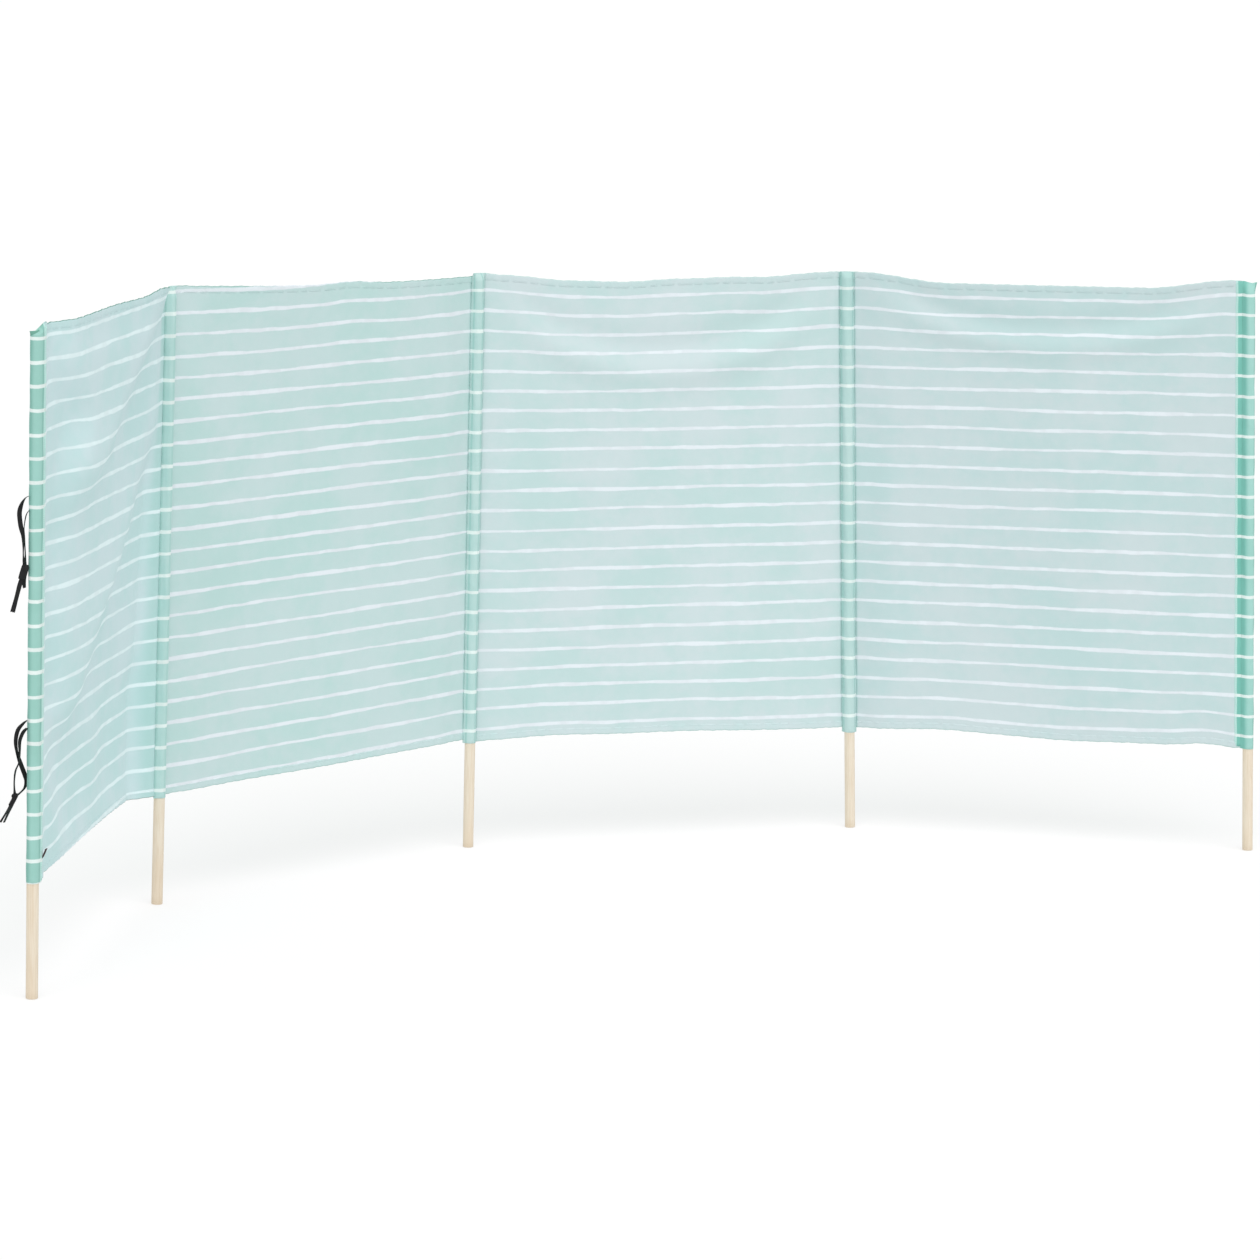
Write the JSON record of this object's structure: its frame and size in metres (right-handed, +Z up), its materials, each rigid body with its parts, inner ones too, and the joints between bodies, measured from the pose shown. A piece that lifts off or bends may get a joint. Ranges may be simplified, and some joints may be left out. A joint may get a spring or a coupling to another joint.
{
  "type": "beach windbreak",
  "caption": "Beach windbreak of striped cloth bays between round wooden poles, set up in an arc, with tape ties on the left end pole.",
  "frame": {"origin": "centre of the middle pole's foot, on the ground", "axes": "+Z up along the middle pole, +X to the right along the windbreak seen from its hollow side, +Y to the back of the arc, away from the user"},
  "size_m": [2.4491, 1.8087, 1.2005],
  "materials": {
    "wood": "bare sanded pale wood",
    "cloth": "thin woven cloth, pale inner side with white brushed stripes",
    "cloth_front": "thin woven cloth, printed outer side, mint with white brushed stripes",
    "tape": "black woven tape"
  },
  "bodies": {
    "bay_2": {"pole_2": "wood", "pole_3": "wood", "sleeve_2": "cloth", "sleeve_3": "cloth", "panel_2": "cloth", "top_hem_2": "cloth", "bottom_hem_2": "cloth"},
    "bay_1": {"pole_1": "wood", "sleeve_1": "cloth_front", "panel_1": "cloth", "top_hem_1": "cloth", "bottom_hem_1": "cloth", "end_flap_1": "cloth_front", "tape_loop": "tape", "tie_upper_a": "tape", "tie_upper_b": "tape", "tie_upper_knot": "tape", "tie_lower_a": "tape", "tie_lower_b": "tape", "tie_lower_knot": "tape"},
    "bay_3": {"panel_3": "cloth", "top_hem_3": "cloth", "bottom_hem_3": "cloth", "pole_4": "wood", "sleeve_4": "cloth"},
    "bay_4": {"panel_4": "cloth", "top_hem_4": "cloth", "bottom_hem_4": "cloth", "end_flap_5": "cloth_front", "sleeve_5": "cloth_front", "pole_5": "wood"}
  },
  "joints": [
    {"name": "left_fold", "type": "hinge", "parent": "bay_2", "child": "bay_1", "pos_m": [-0.58591, -0.6376, 0], "axis": [0.0117, 0.02, 0.9997], "range_deg": [-110, 45]},
    {"name": "centre_fold", "type": "hinge", "parent": "bay_2", "child": "bay_3", "pos_m": [0, 0, 0], "axis": [0, 0, -1], "range_deg": [-104, 52]},
    {"name": "right_fold", "type": "hinge", "parent": "bay_3", "child": "bay_4", "pos_m": [0.81434, 0.31603, 0], "axis": [0.0366, 0, -0.9993], "range_deg": [-110, 45]}
  ]
}
